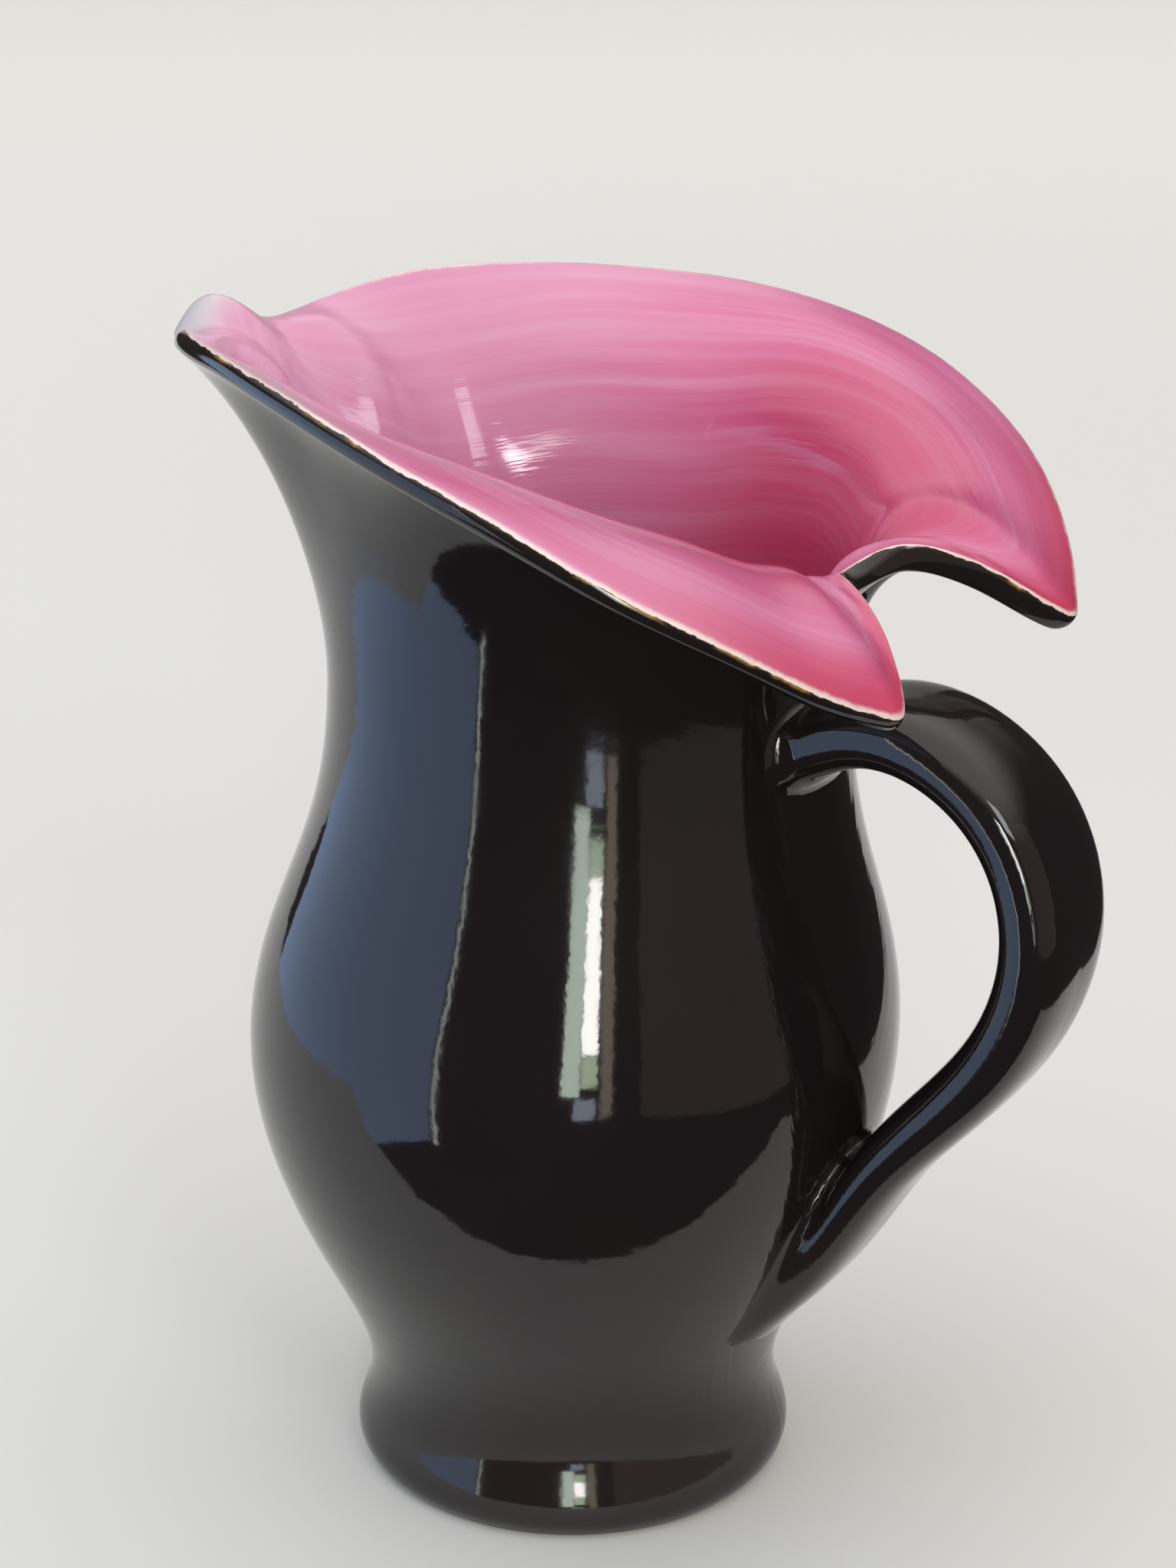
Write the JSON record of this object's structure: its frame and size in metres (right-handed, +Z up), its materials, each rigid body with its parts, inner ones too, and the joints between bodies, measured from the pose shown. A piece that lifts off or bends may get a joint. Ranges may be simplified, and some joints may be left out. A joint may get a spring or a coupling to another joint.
{
  "type": "jug",
  "caption": "Glazed pottery jug with a waisted foot, rounded belly, split petal-like mouth, drooping pouring lip and a strap handle.",
  "frame": {"origin": "centre of the foot ring, on the surface the jug stands on", "axes": "+Z up; +X towards the handle; -X towards the pouring lip; the XZ plane is the plane of symmetry"},
  "size_m": [0.2126, 0.1762, 0.2474],
  "materials": {
    "bare_clay": "dry fired clay",
    "handle_clay": "dry fired clay",
    "luting_clay": "dry fired clay",
    "black_glaze": "glossy",
    "pink_glaze": "glossy"
  },
  "bodies": {
    "root": {"body_wall": "bare_clay", "handle_strap": "handle_clay", "upper_luting": "luting_clay", "lower_luting": "luting_clay", "black_body_glaze": "black_glaze", "black_handle_glaze": "black_glaze", "pink_inner_glaze": "pink_glaze"}
  },
  "joints": []
}
